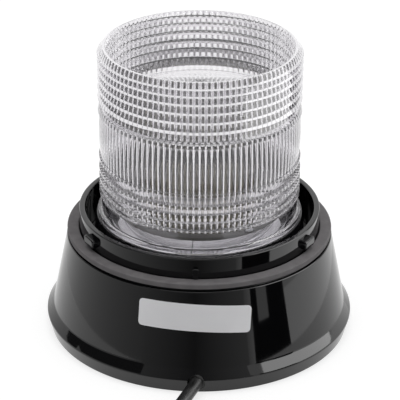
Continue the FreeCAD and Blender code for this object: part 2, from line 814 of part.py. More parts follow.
def control_chip():
    long, wide, tall = chip_size
    body = block((long, wide, tall - chip_foot), shelf_top - tall, chip_place)
    feet = []
    for side in (-1, 1):
        for k in range(4):
            at = (chip_place[0] + (k - 1.5) * long / 4, chip_place[1] + side * (wide / 2 - lead_half))
            feet.append(block((2 * lead_half, 2 * lead_half, chip_foot), shelf_top - chip_foot, at))
    return body.fuse(feet).removeSplitter()


def resistors():
    """Bodies on bent leads, hung under the board."""
    half = resistor_span / 2
    low = shelf_top - resistor_hang
    found = []
    for x, y in resistor_places:
        along = FreeCAD.Vector(1, 0, 0)
        body = Part.makeCylinder(resistor_radius, resistor_length,
                                 FreeCAD.Vector(x - resistor_length / 2, y, low), along)
        body = body.makeChamfer(resistor_radius / 4, body.Edges[0:1] + body.Edges[2:3])
        lead = Part.makeCylinder(resistor_lead, resistor_span, FreeCAD.Vector(x - half, y, low), along)
        ends = [rod(resistor_lead, low, shelf_top, FreeCAD.Vector(x + side * half, y, 0)) for side in (-1, 1)]
        found.append(body.fuse([lead] + ends))
    return found


def terminal_block():
    body = block(block_size, shelf_top - block_size[2], block_place)
    low = shelf_top - block_size[2]
    holes = []
    for side in (-1, 1):
        at = FreeCAD.Vector(block_place[0] + side * core_wire_spread, block_place[1], 0)
        holes.append(rod(block_hole_radius, low - overrun, low + block_size[2] / 2, at))
    body = body.cut(holes)
    return rounded(body, film_round / 2,
                   lambda edge: lies_along(edge, up) and edge.Length > block_size[2] * 0.9)


def cable_grommet():
    """Rubber bush in the cord hole, flush with the rim outside and clear of the base plate inside."""
    along = FreeCAD.Vector(1, 0, 0)
    bush = along_cord(Part.makeCylinder(grommet_radius, rim_radius / 4, origin, along))
    hole = along_cord(Part.makeCylinder(cord_radius + push_fit, rim_radius / 4, origin, along))
    inside = rod(plate_radius + plate_room + turn_gap, 0.0, shoulder_height)
    return bush.cut([hole, inside]).common(cone_envelope())


def inner_cable():
    return along_cord(Part.makeCylinder(cord_radius, cord_inside, origin, FreeCAD.Vector(1, 0, 0)))


def clamp_foot():
    return cord_height + clamp_sheet / 2


def clamp_screw_places():
    middle = cord_exit - cord_heading * clamp_inside
    return [middle + cord_side * (side * (clamp_span / 2 - clamp_boss_radius)) for side in (-1, 1)]


def clamp_bosses():
    return [rod(clamp_boss_radius, plate_recess, clamp_foot(), at) for at in clamp_screw_places()]


def cable_clamp():
    """Saddle over the cord, on two bosses of the base plate."""
    reach = cord_radius + push_fit
    outer = reach + clamp_sheet
    foot = clamp_sheet / 2
    bar = Part.makeBox(clamp_width, clamp_span, clamp_sheet,
                       FreeCAD.Vector(clamp_inside - clamp_width / 2, -clamp_span / 2, foot))
    along = FreeCAD.Vector(1, 0, 0)
    start = FreeCAD.Vector(clamp_inside - clamp_width / 2, 0, 0)
    arch = Part.makeCylinder(outer, clamp_width, start, along)
    below = Part.makeBox(clamp_width, 2 * outer, 2 * outer,
                         FreeCAD.Vector(clamp_inside - clamp_width / 2, -outer, foot - 2 * outer))
    saddle = along_cord(bar.fuse(arch).cut([Part.makeCylinder(reach, clamp_width, start, along), below]))
    holes = [rod(clamp_screw_radius + screw_fit, cord_height, cord_height + 2 * outer, at)
             for at in clamp_screw_places()]
    return saddle.cut(holes).removeSplitter()


def cable_clamp_screws():
    top = clamp_foot() + clamp_sheet
    found = []
    for at in clamp_screw_places():
        screw = pan_head(board_head_radius, board_head_height)
        screw = screw.fuse(rod(clamp_screw_radius, -clamp_screw_length, 0.0))
        screw.translate(FreeCAD.Vector(at.x, at.y, top))
        found.append(screw)
    return found


def core_wire(side):
    """One core from the end of the sheath up into the terminal block."""
    beside = cord_side * (side * (cord_radius - core_wire_radius) / 1.5)
    start = cord_exit - cord_heading * cord_inside + beside
    bottom = shelf_top - block_size[2]
    top = FreeCAD.Vector(block_place[0] + side * core_wire_spread, block_place[1], bottom + block_size[2] / 2)
    rise = bottom - start.z
    turn_x = (start.x + top.x) / 2 - cord_heading.x * rise / 4
    points = [start, start - cord_heading * (rise / 4)]
    points.append(FreeCAD.Vector(turn_x, top.y + rise / 8, start.z + rise / 4))
    points.append(FreeCAD.Vector(top.x, top.y, start.z + rise * 0.7))
    points.append(top)
    return swept(route_wire(points)[0], core_wire_radius)


def cord_points():
    """Corners of the cord's way: level out of the outlet, down to the floor and along it."""
    points = [cord_exit]
    for k, (run, left) in enumerate(cord_runs):
        point = points[-1] + polar(run, -left)
        point.z = cord_height if k == 0 else cord_radius
        points.append(point)
    return points


def coil_centre():
    join = cord_points()[-1] - polar(coil_track_radius, coil_join_azimuth)
    return FreeCAD.Vector(join.x, join.y, 0)


def supply_cable():
    """Cord from the outlet to where it joins the coil."""
    wire, radii = route_wire(cord_points())
    cord = swept(wire, cord_radius)
    print("cord radii", [round(radius, 1) for radius in radii], "run", round(wire.Length, 1),
          "volume share", round(cord.Volume / (wire.Length * math.pi * cord_radius ** 2), 4))
    return cord


def cable_coil():
    """Outer shape of the coiled length, with room on top for the stripped cores and below for the tie."""
    inner = coil_middle_radius - coil_half_width
    outer = coil_middle_radius + coil_half_width
    c = cord_radius / 2
    coil = revolved([(inner + c, 0.0), (outer - c, 0.0), (outer, c), (outer, coil_top - c),
                     (outer - c, coil_top), (inner + c, coil_top), (inner, coil_top - c), (inner, c)])
    free_track = sector(coil_track_radius - cord_radius, coil_track_radius + cord_diameter,
                        coil_top - cord_diameter, coil_top + overrun, coil_join_azimuth - lead_gap,
                        coil_join_azimuth)
    under_tie = block((tie_width + 2 * push_fit, 4 * coil_half_width, tie_sheet + push_fit), 0.0,
                      (0.0, -coil_middle_radius))
    coil = coil.cut([free_track, turned(under_tie, tie_azimuth)])
    coil.translate(coil_centre())
    return coil


def coil_tie():
    """Strap round the coil's section."""
    wide = 2 * coil_half_width + 2 * turn_gap
    tall = coil_top + push_fit
    place = (0.0, -coil_middle_radius)
    outer = block((tie_width, wide + 2 * tie_sheet, tall + tie_sheet), 0.0, place)
    outer = rounded(outer, 2 * tie_sheet, lambda edge: lies_along(edge, FreeCAD.Vector(1, 0, 0)))
    inner = block((tie_width + 2 * overrun, wide, tall - tie_sheet), tie_sheet, place)
    inner = rounded(inner, tie_sheet, lambda edge: lies_along(edge, FreeCAD.Vector(1, 0, 0)))
    strap = turned(outer.cut(inner), tie_azimuth)
    strap.translate(coil_centre())
    return strap


def lead_end(side):
    """Stripped core that lies on the turn below it, past the end of the sheath."""
    radius = coil_track_radius + side * core_wire_radius * 1.3
    z = coil_top - cord_diameter + core_wire_radius + push_fit
    start = coil_join_azimuth - lead_gap + math.degrees(push_fit / radius)
    sweep = math.degrees(lead_length / radius)
    points = [polar(radius, start + sweep * share, z) + coil_centre() for share in (0.0, 0.5, 1.0)]
    return swept(Part.Wire([Part.Arc(*points).toShape()]), core_wire_radius)


def save(node, shapes):
    group = shapes if isinstance(shapes, list) else [shapes]
    for shape in group:
        if not shape.isValid() or len(shape.Solids) != 1:
            raise ValueError(f"{node}: {len(shape.Solids)} solids, valid {shape.isValid()}")
    solids = [shape.Solids[0] for shape in group]
    whole = solids[0] if len(solids) == 1 else Part.makeCompound(solids)
    whole.exportStep(os.path.join("parts", node + ".step"))


os.makedirs("parts", exist_ok=True)
save("base_housing", base_housing())
save("dome_collar", dome_collar())
save("dome_gasket", dome_gasket())
save("base_plate", base_plate())
save("base_plate_screws", around(plate_screw(), plate_screw_count, plate_screw_azimuth))
save("mounting_inserts", mounting_inserts())
save("lens_carrier", lens_carrier())
save("lens_carrier_screws", carrier_screws())
save("fresnel_lens", fresnel_lens())
save("circuit_board", circuit_board())
save("board_screws", board_screws())
save("reflector_spacers", reflector_spacers())
save("reflector_plate", reflector_plate())
save("reflector_band", reflector_band())
save("reflector_screws", reflector_screws())
save("tube_holder", tube_holder())
save("flash_tube", flash_tube())
save("tube_end_caps", tube_end_caps())
save("trigger_wire", trigger_wire())
save("storage_capacitor", storage_capacitor())
save("transformer_core", transformer_core())
save("transformer_winding", transformer_winding())
save("trigger_coil", trigger_coil())
save("film_capacitor", film_capacitor())
save("heat_sink", heat_sink())
save("power_transistor", power_transistor())
save("control_chip", control_chip())
save("resistors", resistors())
save("terminal_block", terminal_block())
save("cable_grommet", cable_grommet())
save("inner_cable", inner_cable())
save("cable_clamp", cable_clamp())
save("cable_clamp_screws", cable_clamp_screws())
save("core_red", core_wire(1))
save("core_black", core_wire(-1))
save("supply_cable", supply_cable())
save("cable_coil", cable_coil())
save("coil_tie", coil_tie())
save("lead_red", lead_end(1))
save("lead_black", lead_end(-1))
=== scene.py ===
import math

import bmesh
import bpy
from mathutils import Matrix, Vector


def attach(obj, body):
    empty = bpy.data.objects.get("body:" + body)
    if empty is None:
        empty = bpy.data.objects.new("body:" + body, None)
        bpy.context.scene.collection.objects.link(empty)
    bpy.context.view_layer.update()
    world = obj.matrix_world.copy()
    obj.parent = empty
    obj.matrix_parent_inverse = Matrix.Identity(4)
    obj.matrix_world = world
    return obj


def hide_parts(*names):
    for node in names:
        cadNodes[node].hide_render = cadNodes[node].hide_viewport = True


# Looks of a flashing beacon with its dome taken off
# Sizes are millimetres and degrees where nothing else is said
# Azimuths count from the front, which is -Y, towards +X
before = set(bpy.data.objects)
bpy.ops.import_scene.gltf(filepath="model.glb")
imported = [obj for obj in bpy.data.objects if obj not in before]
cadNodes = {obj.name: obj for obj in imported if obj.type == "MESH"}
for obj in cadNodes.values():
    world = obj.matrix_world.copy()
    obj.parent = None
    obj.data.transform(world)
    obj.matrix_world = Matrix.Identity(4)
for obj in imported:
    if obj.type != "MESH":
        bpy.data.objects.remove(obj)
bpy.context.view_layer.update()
scene = bpy.context.scene
mm = 0.001
print("frame loaded:", len(cadNodes), "nodes")


def polar(radius, azimuth, z=0.0):
    angle = math.radians(azimuth)
    return Vector((radius * math.sin(angle), -radius * math.cos(angle), z)) * mm


def azimuthOf(point):
    return math.degrees(math.atan2(point.x, -point.y))


# Camera at the photograph's angle
cameraSet = {
    "stand": (0.0, -926.4, 524.3),
    "pitch": 26.161,    # downwards
    "roll": 0.313,
    "lens": 175.68,
    "sensor": 36.0,
    "shift": 0.0013,    # share of the picture's width
    "nearest": 0.05,    # metres
}


def makeCamera():
    data = bpy.data.cameras.new("photoCamera")
    data.sensor_width = cameraSet["sensor"]
    data.lens = cameraSet["lens"]
    data.shift_x = cameraSet["shift"]
    data.clip_start = cameraSet["nearest"]
    camera = bpy.data.objects.new("photoCamera", data)
    scene.collection.objects.link(camera)
    tilt = Matrix.Rotation(math.radians(90.0 - cameraSet["pitch"]), 4, "X")
    roll = Matrix.Rotation(math.radians(cameraSet["roll"]), 4, "Z")
    camera.matrix_world = Matrix.Translation(Vector(cameraSet["stand"]) * mm) @ tilt @ roll
    scene.camera = camera


makeCamera()
print("camera placed")


# Finishes: constants sit on the shader's own sockets
# Noise on object coordinates gives the rest
def newFinish(name, sockets):
    material = bpy.data.materials.new(name)
    material.use_nodes = True
    shader = material.node_tree.nodes["Principled BSDF"]
    for socket, value in sockets.items():
        shader.inputs[socket].default_value = value
    return material, material.node_tree, shader


def addNoise(tree, scale, detail=4.0, stretch=(1.0, 1.0, 1.0)):
    place = tree.nodes.new("ShaderNodeTexCoord")
    mapping = tree.nodes.new("ShaderNodeMapping")
    mapping.inputs["Scale"].default_value = stretch
    noise = tree.nodes.new("ShaderNodeTexNoise")
    noise.inputs["Scale"].default_value = scale
    noise.inputs["Detail"].default_value = detail
    tree.links.new(place.outputs["Object"], mapping.inputs["Vector"])
    tree.links.new(mapping.outputs["Vector"], noise.inputs["Vector"])
    return noise.outputs["Fac"]


def spread(tree, value, low, high, fromLow=0.3, fromHigh=0.7):
    ranged = tree.nodes.new("ShaderNodeMapRange")
    ranged.inputs["From Min"].default_value = fromLow
    ranged.inputs["From Max"].default_value = fromHigh
    ranged.inputs["To Min"].default_value = low
    ranged.inputs["To Max"].default_value = high
    tree.links.new(value, ranged.inputs["Value"])
    return ranged.outputs["Result"]


def tinted(tree, shader, value, first, second):
    mix = tree.nodes.new("ShaderNodeMix")
    mix.data_type = "RGBA"
    mix.inputs["A"].default_value = (*first, 1.0)
    mix.inputs["B"].default_value = (*second, 1.0)
    tree.links.new(value, mix.inputs["Factor"])
    tree.links.new(mix.outputs["Result"], shader.inputs["Base Color"])


def embossed(tree, shader, value, strength, depth):
    bump = tree.nodes.new("ShaderNodeBump")
    bump.inputs["Strength"].default_value = strength
    bump.inputs["Distance"].default_value = depth * mm
    tree.links.new(value, bump.inputs["Height"])
    tree.links.new(bump.outputs["Normal"], shader.inputs["Normal"])


# A finish is two shades in clouds, a span of roughness and a grain
# The grain is given as scale, strength and depth
def grainedFinish(name, first, second, rough, clouds=80.0, grain=(900.0, 0.2, 0.1),
                  stretch=(1, 1, 1), **sockets):
    named = {key.replace("_", " "): value for key, value in sockets.items()}
    material, tree, shader = newFinish(name, named)
    cloud = addNoise(tree, clouds, 5.0, stretch)
    tinted(tree, shader, spread(tree, cloud, 0.0, 1.0), first, second)
    tree.links.new(spread(tree, cloud, *rough), shader.inputs["Roughness"])
    scale, strength, depth = grain
    embossed(tree, shader, addNoise(tree, scale, 3.0, stretch), strength, depth)
    return material


# Glossy black moulding, with a faint waviness and a few specks of dust
mouldingSet = {
    "black": (0.0035, 0.0035, 0.004),
    "rough": (0.045, 0.085),
    "roughScale": 60.0,
    "dust": (0.25, 0.24, 0.22),
    "dustScale": 2600.0,
    "dustSpan": (0.80, 0.84),   # the noise's top end, where a speck lies
    "waveScale": 45.0,
    "waveStrength": 0.2,
    "waveDepth": 0.04,
}


def makeGlossBlack():
    s = mouldingSet
    material, tree, shader = newFinish("glossBlackMoulding", {"IOR": 1.5})
    cloud = addNoise(tree, s["roughScale"], 6.0)
    tree.links.new(spread(tree, cloud, *s["rough"]), shader.inputs["Roughness"])
    dust = spread(tree, addNoise(tree, s["dustScale"], 2.0), 0.0, 1.0, *s["dustSpan"])
    tinted(tree, shader, dust, s["black"], s["dust"])
    wave = addNoise(tree, s["waveScale"], 2.0)
    embossed(tree, shader, wave, s["waveStrength"], s["waveDepth"])
    return material


def clearFinish(name, colour, ior, clouds, rough):
    material, tree, shader = newFinish(name, {
        "Base Color": (*colour, 1.0), "IOR": ior, "Transmission Weight": 1.0})
    tree.links.new(spread(tree, addNoise(tree, clouds, 3.0), *rough), shader.inputs["Roughness"])
    return material


glossBlack = makeGlossBlack()
clearLens = clearFinish("clearLens", (0.84, 0.83, 0.85), 1.49, 300.0, (0.01, 0.03))
tubeGlass = clearFinish("flashTubeGlass", (0.93, 0.95, 0.93), 1.47, 500.0, (0.0, 0.03))
gasketFoam = grainedFinish("gasketFoam", (0.135, 0.128, 0.132), (0.185, 0.176, 0.18), (0.8, 0.95),
                           160.0, (2200.0, 0.5, 0.12), IOR=1.4)
cordSheath = grainedFinish("cordSheath", (0.006, 0.006, 0.006), (0.013, 0.013, 0.013),
                           (0.32, 0.48), 200.0, (1400.0, 0.25, 0.06))
labelSilver = grainedFinish("labelSilver", (0.88, 0.88, 0.90), (0.95, 0.95, 0.97), (0.34, 0.44),
                            30.0, (2500.0, 0.12, 0.02), Metallic=0.05)
brightBand = grainedFinish("brightBand", (0.56, 0.56, 0.57), (0.68, 0.68, 0.69), (0.03, 0.07),
                           60.0, (1500.0, 0.08, 0.02), Metallic=1.0)

# Finish of each construction piece that keeps its own mesh
nodeFinishes = [
    (grainedFinish("carrierBlack", (0.006, 0.006, 0.007), (0.011, 0.011, 0.012), (0.22, 0.32)),
     ["lens_carrier"]),
    (grainedFinish("plateBlack", (0.011, 0.011, 0.012), (0.02, 0.02, 0.021), (0.5, 0.62), 120.0,
                   (1800.0, 0.4, 0.1)), ["base_plate"]),
    (grainedFinish("screwSteel", (0.50, 0.50, 0.52), (0.62, 0.62, 0.64), (0.25, 0.38), 300.0,
                   Metallic=1.0),
     ["base_plate_screws", "lens_carrier_screws", "board_screws", "reflector_screws",
      "cable_clamp_screws"]),
    (grainedFinish("insertBrass", (0.58, 0.41, 0.16), (0.72, 0.54, 0.26), (0.22, 0.36), 250.0,
                   Metallic=1.0),
     ["mounting_inserts"]),
    (grainedFinish("boardLaminate", (0.05, 0.18, 0.08), (0.08, 0.25, 0.12), (0.35, 0.5), 250.0),
     ["circuit_board"]),
    (brightBand, ["reflector_band", "heat_sink"]),
    (grainedFinish("dullPlate", (0.13, 0.13, 0.125), (0.19, 0.19, 0.18), (0.18, 0.28)),
     ["reflector_plate"]),
    (grainedFinish("holderPhenolic", (0.16, 0.145, 0.09), (0.22, 0.20, 0.13), (0.4, 0.55)),
     ["tube_holder"]),
    (grainedFinish("whiteNylon", (0.70, 0.69, 0.64), (0.78, 0.77, 0.72), (0.4, 0.55)),
     ["reflector_spacers", "cable_clamp"]),
    (tubeGlass, ["flash_tube"]),
    (grainedFinish("nickelPlate", (0.62, 0.60, 0.56), (0.72, 0.70, 0.65), (0.15, 0.28), 300.0,
                   Metallic=1.0),
     ["tube_end_caps", "trigger_wire"]),
    (grainedFinish("canSleeve", (0.02, 0.025, 0.06), (0.035, 0.045, 0.095), (0.2, 0.3)),
     ["storage_capacitor"]),
    (grainedFinish("coreFerrite", (0.05, 0.05, 0.053), (0.085, 0.085, 0.09), (0.6, 0.75)),
     ["transformer_core"]),
    (grainedFinish("windingCopper", (0.50, 0.20, 0.09), (0.68, 0.33, 0.16), (0.28, 0.4), 60.0,
                   (1200.0, 0.6, 0.15), (0.02, 0.02, 1.0), Metallic=1.0), ["transformer_winding"]),
    (grainedFinish("coilResin", (0.38, 0.21, 0.04), (0.5, 0.31, 0.08), (0.18, 0.3)),
     ["trigger_coil"]),
    (grainedFinish("filmResin", (0.42, 0.05, 0.03), (0.54, 0.09, 0.06), (0.2, 0.3)),
     ["film_capacitor"]),
    (grainedFinish("chipMoulding", (0.022, 0.022, 0.024), (0.036, 0.036, 0.04), (0.5, 0.65)),
     ["power_transistor", "control_chip"]),
    (grainedFinish("resistorLacquer", (0.52, 0.39, 0.24), (0.66, 0.53, 0.36), (0.3, 0.42)),
     ["resistors"]),
    (grainedFinish("terminalGreen", (0.035, 0.24, 0.09), (0.06, 0.33, 0.14), (0.35, 0.5)),
     ["terminal_block"]),
    (grainedFinish("grommetRubber", (0.012, 0.012, 0.012), (0.022, 0.022, 0.022), (0.55, 0.7)),
     ["cable_grommet"]),
    (cordSheath, ["inner_cable"]),
    (grainedFinish("redInsulation", (0.42, 0.02, 0.015), (0.55, 0.04, 0.03), (0.35, 0.5)),
     ["core_red", "lead_red"]),
    (grainedFinish("blackInsulation", (0.012, 0.012, 0.012), (0.024, 0.024, 0.024), (0.35, 0.5)),
     ["core_black", "lead_black"]),
    (grainedFinish("tieNylon", (0.028, 0.028, 0.03), (0.045, 0.045, 0.048), (0.35, 0.5)),
     ["coil_tie"]),
]
for finish, names in nodeFinishes:
    for name in names:
        cadNodes[name].data.materials.clear()
        cadNodes[name].data.materials.append(finish)
print("finishes made:", len(bpy.data.materials))


# Supply cord: the route's points, then the coil of its spare length
# The coil is wound inwards, up and out again
cordSet = {
    "diameter": 6.5,
    "route": [(-0.95, -80.6, 6.0), (-7.106, -97.514, 6.0), (-16.026, -114.29, 3.25),
              (-22.824, -135.213, 3.25), (-25.329, -153.038, 3.25)],
    "coilMiddle": (16.51, -158.92),
    "outerTrack": 42.25,
    "innerTrack": 29.25,
    "lowLayer": 3.25,
    "highLayer": 9.75,
    "firstAzimuth": -98.0,
    "lastAzimuth": 1290.0,
    "layerSweep": 720.0,
    "climbSweep": 60.0,
    "pointsPerTurn": 24,
    "smoothness": 6,
    "length": 0.936,    # metres
}


def coilPoint(azimuth):
    s = cordSet
    swept = azimuth - s["firstAzimuth"]
    climbed = min(max((swept - s["layerSweep"]) / s["climbSweep"], 0.0), 1.0)
    inwards = min(swept / s["layerSweep"], 1.0)
    outStart = s["layerSweep"] + s["climbSweep"]
    outwards = max((swept - outStart) / (s["lastAzimuth"] - s["firstAzimuth"] - outStart), 0.0)
    track = s["outerTrack"] + (s["innerTrack"] - s["outerTrack"]) * (inwards - outwards)
    swell = 1.0 / math.cos(math.pi / s["pointsPerTurn"])    # the spline cuts inside its points
    z = s["lowLayer"] + (s["highLayer"] - s["lowLayer"]) * climbed * climbed * (3.0 - 2.0 * climbed)
    x, y = s["coilMiddle"]
    return polar(track * swell, azimuth, z) + Vector((x, y, 0.0)) * mm


def makeCord():
    points = [Vector(point) * mm for point in cordSet["route"]]
    step = 360.0 / cordSet["pointsPerTurn"]
    azimuth = cordSet["firstAzimuth"] + step
    while azimuth < cordSet["lastAzimuth"]:
        points.append(coilPoint(azimuth))
        azimuth += step
    points.append(coilPoint(cordSet["lastAzimuth"]))
    curve = bpy.data.curves.new("supplyCord", "CURVE")
    curve.dimensions = "3D"
    curve.bevel_depth = cordSet["diameter"] / 2 * mm
    curve.bevel_resolution = cordSet["smoothness"]
    curve.resolution_u = cordSet["smoothness"]
    curve.use_fill_caps = True
    spline = curve.splines.new("NURBS")
    spline.points.add(len(points) - 1)
    for target, point in zip(spline.points, points):
        target.co = (*point, 1.0)
    spline.order_u = 3
    spline.use_endpoint_u = True
    cord = bpy.data.objects.new("supplyCord", curve)
    scene.collection.objects.link(cord)
    curve.materials.append(cordSheath)
    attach(cord, "housing")
    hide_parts("supply_cable", "cable_coil")


makeCord()
print("cord laid")


# Shaping helpers: an outline is a list of radius, height and rounding
shapingSet = {"weld": 0.001, "roundSteps": 3, "pegSides": 40, "sharpAngle": 32.0}


def outlineWire(bm, outline, closed):
    verts = [bm.verts.new((r * mm, 0.0, z * mm)) for r, z, rounding in outline]
    ends = verts[1:] + verts[:1] if closed else verts[1:]
    for start, end in zip(verts, ends):
        bm.edges.new((start, end))
    for vert, (r, z, rounding) in zip(verts, outline):
        if rounding:
            bmesh.ops.bevel(bm, geom=[vert], offset=rounding * mm, offset_type="OFFSET",
                            affect="VERTICES", segments=shapingSet["roundSteps"], profile=0.5,
                            material=-1)


def spun(outline, steps, closed=True):
    bm = bmesh.new()
    outlineWire(bm, outline, closed)
    bmesh.ops.spin(bm, geom=bm.verts[:] + bm.edges[:], cent=(0, 0, 0), axis=(0, 0, 1),
                   angle=2 * math.pi, steps=steps, use_merge=True)
    bmesh.ops.remove_doubles(bm, verts=bm.verts[:], dist=shapingSet["weld"] * mm)
    bmesh.ops.recalc_face_normals(bm, faces=bm.faces[:])
    return bm


def bareObject(name, bm):
    mesh = bpy.data.meshes.new(name)
    bm.to_mesh(mesh)
    bm.free()
    obj = bpy.data.objects.new(name, mesh)
    scene.collection.objects.link(obj)
    return obj


def carved(obj, cutters, operation):
    for cutter in cutters:
        modifier = obj.modifiers.new("carve", "BOOLEAN")
        modifier.object = cutter
        modifier.operation = operation
        modifier.solver = "EXACT"
    depsgraph = bpy.context.evaluated_depsgraph_get()
    mesh = bpy.data.meshes.new_from_object(obj.evaluated_get(depsgraph))
    obj.modifiers.clear()
    spare = obj.data
    obj.data = mesh
    bpy.data.meshes.remove(spare)
    for cutter in cutters:
        bpy.data.meshes.remove(cutter.data)


def dressed(obj, body, finish, replaced=(), sharpAngle=shapingSet["sharpAngle"],
            evened=True):
    mesh = obj.data
    mesh.materials.clear()
    mesh.materials.append(finish)
    mesh.shade_smooth()
    mesh.set_sharp_from_angle(angle=math.radians(sharpAngle))
    if evened:
        # Rounded edges don't bend the shading of the large faces beside them
        even = obj.modifiers.new("evenShading", "WEIGHTED_NORMAL")
        even.mode = "FACE_AREA"
        even.keep_sharp = True
    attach(obj, body)
    if replaced:
        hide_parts(*replaced)


def peg(radius, low, high, at, sides=shapingSet["pegSides"]):
    bm = bmesh.new()
    middle = Matrix.Translation(Vector((at.x, at.y, (low + high) / 2 * mm)))
    bmesh.ops.create_cone(bm, cap_ends=True, segments=sides, radius1=radius * mm,
                          radius2=radius * mm, depth=(high - low) * mm, matrix=middle)
    return bareObject("peg", bm)


# Base housing: a cone shell with a bevelled rim, a ledge for the gasket and a spigot for the collar
housingSet = {
    "footRadius": 80.0,
    "rimRadius": 82.0,
    "rimHeight": 7.8,
    "bevelRadius": 78.2,
    "bevelHeight": 12.6,
    "shoulderRadius": 70.2,
    "shoulderHeight": 52.2,
    "grooveRadius": 68.5,
    "gasketSeat": 53.4,
    "spigotInside": 63.6,
    "spigotOutside": 66.0,
    "lipInside": 60.5,
    "lipTop": 43.0,
    "lipUnderside": 40.6,
    "ledgeUnderside": 50.6,
    "wall": 2.8,
    "plateSeat": 2.6,
    "plateHole": 77.0,
    "bosses": 4,
    "bossRadius": 3.4,
    "bossCircle": 64.8,
    "bossAzimuth": 45.0,
    "bossTop": 41.8,
    "pilotRadius": 1.65,
    "pilotTop": 17.4,
    "outletRadius": 4.25,
    "outlet": (-0.95, -80.6, 6.0),
    "outletTurn": 20.0,
    "outletReach": 10.0,
    "outletSides": 64,
    "footRound": 0.35,
    "rimRound": 0.6,
    "bevelRound": 0.5,
    "shoulderRound": 0.45,
    "seatRound": 0.15,
    "innerRound": 0.2,
    "ledgeRound": 0.3,
    "hollowRound": 0.4,
    "steps": 256,
}


def coneRadius(z):
    s = housingSet
    share = (z - s["bevelHeight"]) / (s["shoulderHeight"] - s["bevelHeight"])
    return s["bevelRadius"] + share * (s["shoulderRadius"] - s["bevelRadius"])


def makeHousing():
    s = housingSet
    seat, inner = s["seatRound"], s["innerRound"]
    hollow = s["bevelRadius"] - s["wall"]
    outline = [
        (s["footRadius"], 0.0, s["footRound"]),
        (s["rimRadius"], s["rimHeight"], s["rimRound"]),
        (s["bevelRadius"], s["bevelHeight"], s["bevelRound"]),
        (s["shoulderRadius"], s["shoulderHeight"], s["shoulderRound"]),
        (s["grooveRadius"], s["shoulderHeight"], seat),
        (s["grooveRadius"], s["gasketSeat"], seat),
        (s["spigotInside"], s["gasketSeat"], seat),
        (s["spigotInside"], s["lipTop"], 0.0),
        (s["lipInside"], s["lipTop"], inner),
        (s["lipInside"], s["lipUnderside"], inner),
        (s["spigotOutside"], s["lipUnderside"], inner),
        (s["spigotOutside"], s["ledgeUnderside"], inner),
        (coneRadius(s["ledgeUnderside"]) - s["wall"], s["ledgeUnderside"], s["ledgeRound"]),
        (hollow, s["bevelHeight"], s["hollowRound"]),
        (hollow, s["plateSeat"], inner),
        (s["plateHole"], s["plateSeat"], 0.0),
        (s["plateHole"], 0.0, inner)]
    housing = bareObject("baseHousing", spun(outline, s["steps"]))
    places = [polar(s["bossCircle"], s["bossAzimuth"] + 360.0 * k / s["bosses"])
              for k in range(s["bosses"])]
    bosses = [peg(s["bossRadius"], s["plateSeat"], s["bossTop"], at) for at in places]
    carved(housing, bosses, "UNION")
    cuts = [peg(s["pilotRadius"], 0.0, s["pilotTop"], at) for at in places]
    reach = s["outletReach"]
    outlet = peg(s["outletRadius"], -reach, reach, Vector((0, 0, 0)), s["outletSides"])
    outlet.data.transform(Matrix.Rotation(math.radians(90.0), 4, "X"))
    outlet.data.transform(Matrix.Rotation(math.radians(-s["outletTurn"]), 4, "Z"))
    outlet.data.transform(Matrix.Translation(Vector(s["outlet"]) * mm))
    carved(housing, cuts + [outlet], "DIFFERENCE")
    dressed(housing, "housing", glossBlack, ["base_housing"])


makeHousing()
print("housing turned")


# Bayonet collar: a ring with a moat floor, rounded lugs and short stop ribs
collarSet = {
    "outside": 63.5,
    "inside": 60.5,
    "top": 67.4,
    "underside": 43.0,
    "moatFloor": 46.0,
    "floorHole": 46.0,
    "rimRound": 0.6,
    "moatRound": 0.8,
    "lowRound": 0.2,
    "lugs": 3,                      # and as many ribs and screws
    "lugAzimuth": 60.0,
    "lugSize": (10.0, 4.3, 5.0),
    "lugMiddle": (64.15, 61.0),     # radius and height
    "lugRound": 1.9,
    "ribAzimuth": -1.6,
    "ribSize": (3.0, 3.3, 5.7),
    "ribMiddle": (63.65, 59.65),
    "ribRound": 0.7,
    "sideSteps": 6,
    "frontSteps": 3,
    "screwCircle": 50.0,
    "screwHole": 1.8,
    "overrun": 1.0,                 # of a screw hole's cutter beyond the moat floor
    "steps": 240,
}


# A block with four edges rounded fully and the edges of its outer face half as much
def roundedBlock(size, middle, rounding, azimuth):
    s = collarSet
    bm = bmesh.new()
    depth = size[1] * mm
    bmesh.ops.create_cube(bm, size=1.0, matrix=Matrix.Diagonal((*(Vector(size) * mm), 1.0)))
    radial = [edge for edge in bm.edges
              if abs(edge.verts[0].co.y - edge.verts[1].co.y) > 0.5 * depth]
    bmesh.ops.bevel(bm, geom=radial, offset=rounding * mm, offset_type="OFFSET", affect="EDGES",
                    segments=s["sideSteps"], profile=0.5, material=-1)
    front = [edge for edge in bm.edges if all(vert.co.y < -0.49 * depth for vert in edge.verts)]
    bmesh.ops.bevel(bm, geom=front, offset=0.5 * rounding * mm, offset_type="OFFSET",
                    affect="EDGES", segments=s["frontSteps"], profile=0.5, material=-1)
    bmesh.ops.translate(bm, verts=bm.verts[:], vec=Vector((0.0, -middle[0], middle[1])) * mm)
    bmesh.ops.rotate(bm, verts=bm.verts[:], cent=(0, 0, 0),
                     matrix=Matrix.Rotation(math.radians(azimuth), 3, "Z"))
    return bareObject("block", bm)


